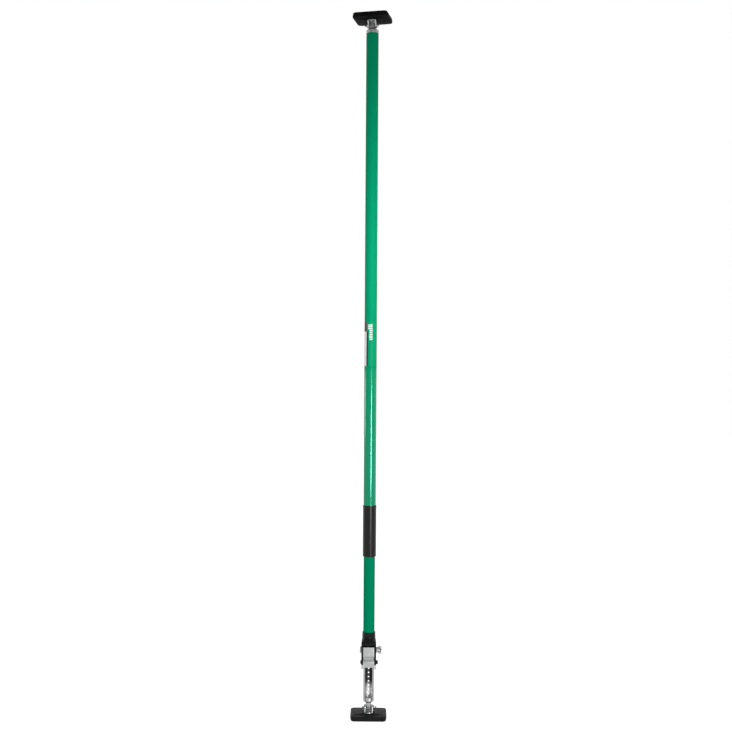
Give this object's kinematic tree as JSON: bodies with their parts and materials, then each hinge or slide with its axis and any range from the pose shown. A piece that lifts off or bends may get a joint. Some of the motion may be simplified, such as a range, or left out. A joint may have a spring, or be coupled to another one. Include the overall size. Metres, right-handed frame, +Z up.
{
  "type": "adjustable steel prop",
  "caption": "Tall telescopic support prop: a twist-locked steel tube, tilting rubber pads at both ends, and a ratchet jack with a lever above the foot.",
  "frame": {"origin": "centre of the foot pad's floor face", "axes": "+Z up along the tubes, the lever and the rack's open side face -Y, +X to the right of someone facing the lever"},
  "size_m": [0.1132, 0.0994, 1.996],
  "materials": {
    "green_paint": "green powder coat, satin to gloss",
    "rubber": "moulded black rubber with a soft sheen",
    "zinc": "bright zinc plate, faintly cloudy",
    "housing_black": "black moulded nylon, fairly glossy",
    "dark_steel": "black oxide steel",
    "spring_steel": "drawn spring wire",
    "nylon": "natural nylon",
    "grip_black": "soft black vinyl, satin",
    "label_film": "thin printed film without words"
  },
  "bodies": {
    "upper": {"upper_tube": "green_paint", "grip_sleeve": "grip_black", "label_film": "label_film", "head_neck": "zinc"},
    "head": {"head_pad": "rubber", "head_backing_plate": "zinc", "head_bracket": "zinc", "head_rivets": "zinc", "head_pivot_bolt": "zinc", "head_pivot_nut": "zinc"},
    "lock": {"lock_expander": "nylon", "lock_cone": "zinc"},
    "lower": {"lower_tube": "green_paint", "lock_plug": "nylon", "lock_stud": "zinc", "lock_nut": "zinc", "housing": "housing_black", "housing_rivets": "dark_steel", "fulcrum_bolt": "zinc", "fulcrum_washer": "zinc", "hold_pin": "dark_steel", "hold_pin_nut": "dark_steel"},
    "wing_nut": {"wing_nut": "zinc"},
    "lever": {"lever": "zinc", "pawl_carrier": "zinc", "drive_pin": "zinc"},
    "drive_pawl": {"drive_pawl": "dark_steel", "drive_pawl_spring": "spring_steel"},
    "hold_pawl": {"hold_pawl": "zinc", "hold_pawl_spring": "spring_steel"},
    "rack": {"rack": "zinc", "foot_neck": "zinc"},
    "foot": {"foot_pad": "rubber", "foot_backing_plate": "zinc", "foot_bracket": "zinc", "foot_rivets": "zinc", "foot_pivot_bolt": "zinc", "foot_pivot_nut": "zinc"}
  },
  "joints": [
    {"name": "head_tilt", "type": "hinge", "parent": "upper", "child": "head", "pos_m": [0, 0, 1.9675], "axis": [0.9763, -0.2164, 0], "range_deg": [-45, 45]},
    {"name": "telescope", "type": "slide", "parent": "upper", "child": "lock", "axis": [0, 0, -1], "range_m": [-0.21, 1]},
    {"name": "twist_lock", "type": "hinge", "parent": "lock", "child": "lower", "pos_m": [0, 0, 1.6], "axis": [0, 0, 1], "range_deg": [0, 270]},
    {"name": "rack_slide", "type": "slide", "parent": "lower", "child": "rack", "axis": [0, 0, -1], "range_m": [-0.084, 0.036]},
    {"name": "lever_lift", "type": "hinge", "parent": "lower", "child": "lever", "pos_m": [0, -0.0156, 0.196], "axis": [-1, 0, 0], "range_deg": [0, 60]},
    {"name": "drive_pawl_turn", "type": "hinge", "parent": "lever", "child": "drive_pawl", "pos_m": [0, -0.00477, 0.20225], "axis": [-1, 0, 0], "range_deg": [-60, 0]},
    {"name": "release_turn", "type": "hinge", "parent": "lower", "child": "hold_pawl", "pos_m": [0, -0.0156, 0.161], "axis": [-1, 0, 0], "range_deg": [0, 12], "stiffness_Nm_per_rad": 0.15, "springref_deg": -11.46},
    {"name": "wing_nut_spin", "type": "hinge", "parent": "lower", "child": "wing_nut", "pos_m": [0.03, -0.0156, 0.196], "axis": [1, 0, 0], "continuous": true},
    {"name": "foot_tilt", "type": "hinge", "parent": "rack", "child": "foot", "pos_m": [0, 0, 0.0285], "axis": [1, 0, 0], "range_deg": [-45, 45]}
  ],
  "couplings": [
    {"joint": "drive_pawl_turn", "follows": "lever_lift", "ratio": -1}
  ]
}
